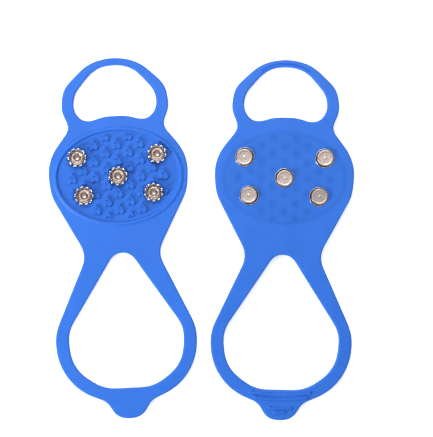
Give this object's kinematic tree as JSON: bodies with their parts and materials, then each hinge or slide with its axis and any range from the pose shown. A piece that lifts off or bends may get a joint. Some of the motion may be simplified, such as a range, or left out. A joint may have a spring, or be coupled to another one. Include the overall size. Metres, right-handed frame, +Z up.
{
  "type": "shoe ice cleats",
  "caption": "Pair of stretch-on silicone shoe ice cleats: oval tread pad with toothed steel spikes, toe loop and heel loop with a ribbed pull tab.",
  "frame": {"origin": "middle of the pair's footprint, on the floor that both cleats lie on", "axes": "+Z up, +Y towards the toe loops, +X from the left cleat (spikes up) to the right one (shoe side up)"},
  "size_m": [0.152, 0.1806, 0.0072],
  "materials": {
    "silicone": "satin moulded blue silicone",
    "crown_steel": "nickel plated, stamped",
    "rivet_steel": "nickel plated, tumbled",
    "washer_steel": "nickel plated"
  },
  "bodies": {
    "left_pad": {"left_tread_pad": "silicone", "left_crown_1": "crown_steel", "left_rivet_1": "rivet_steel", "left_washer_1": "washer_steel", "left_crown_2": "crown_steel", "left_rivet_2": "rivet_steel", "left_washer_2": "washer_steel", "left_crown_3": "crown_steel", "left_rivet_3": "rivet_steel", "left_washer_3": "washer_steel", "left_crown_4": "crown_steel", "left_rivet_4": "rivet_steel", "left_washer_4": "washer_steel", "left_crown_5": "crown_steel", "left_rivet_5": "rivet_steel", "left_washer_5": "washer_steel"},
    "left_toe": {"left_toe_loop": "silicone"},
    "left_heel": {"left_heel_loop": "silicone"},
    "right_pad": {"right_tread_pad": "silicone", "right_crown_1": "crown_steel", "right_rivet_1": "rivet_steel", "right_washer_1": "washer_steel", "right_crown_2": "crown_steel", "right_rivet_2": "rivet_steel", "right_washer_2": "washer_steel", "right_crown_3": "crown_steel", "right_rivet_3": "rivet_steel", "right_washer_3": "washer_steel", "right_crown_4": "crown_steel", "right_rivet_4": "rivet_steel", "right_washer_4": "washer_steel", "right_crown_5": "crown_steel", "right_rivet_5": "rivet_steel", "right_washer_5": "washer_steel"},
    "right_toe": {"right_toe_loop": "silicone"},
    "right_heel": {"right_heel_loop": "silicone"}
  },
  "joints": [
    {"name": "right_cleat_lift", "type": "slide", "parent": "left_pad", "child": "right_pad", "axis": [0, 0, 1], "range_m": [0, 0.15]},
    {"name": "left_toe_flex", "type": "hinge", "parent": "left_pad", "child": "left_toe", "pos_m": [-0.04284, 0.06331, 0.0028], "axis": [-0.9988, -0.0489, 0], "range_deg": [-90, 90], "stiffness_Nm_per_rad": 0.009},
    {"name": "left_heel_flex", "type": "hinge", "parent": "left_pad", "child": "left_heel", "pos_m": [-0.03908, -0.01359, 0.0028], "axis": [0.9988, 0.0489, 0], "range_deg": [-90, 90], "stiffness_Nm_per_rad": 0.011},
    {"name": "right_toe_flex", "type": "hinge", "parent": "right_pad", "child": "right_toe", "pos_m": [0.04194, 0.06235, 0.0044], "axis": [0.9998, -0.0192, 0], "range_deg": [-90, 90], "stiffness_Nm_per_rad": 0.009},
    {"name": "right_heel_flex", "type": "hinge", "parent": "right_pad", "child": "right_heel", "pos_m": [0.04046, -0.01464, 0.0044], "axis": [-0.9998, 0.0192, 0], "range_deg": [-90, 90], "stiffness_Nm_per_rad": 0.011}
  ]
}
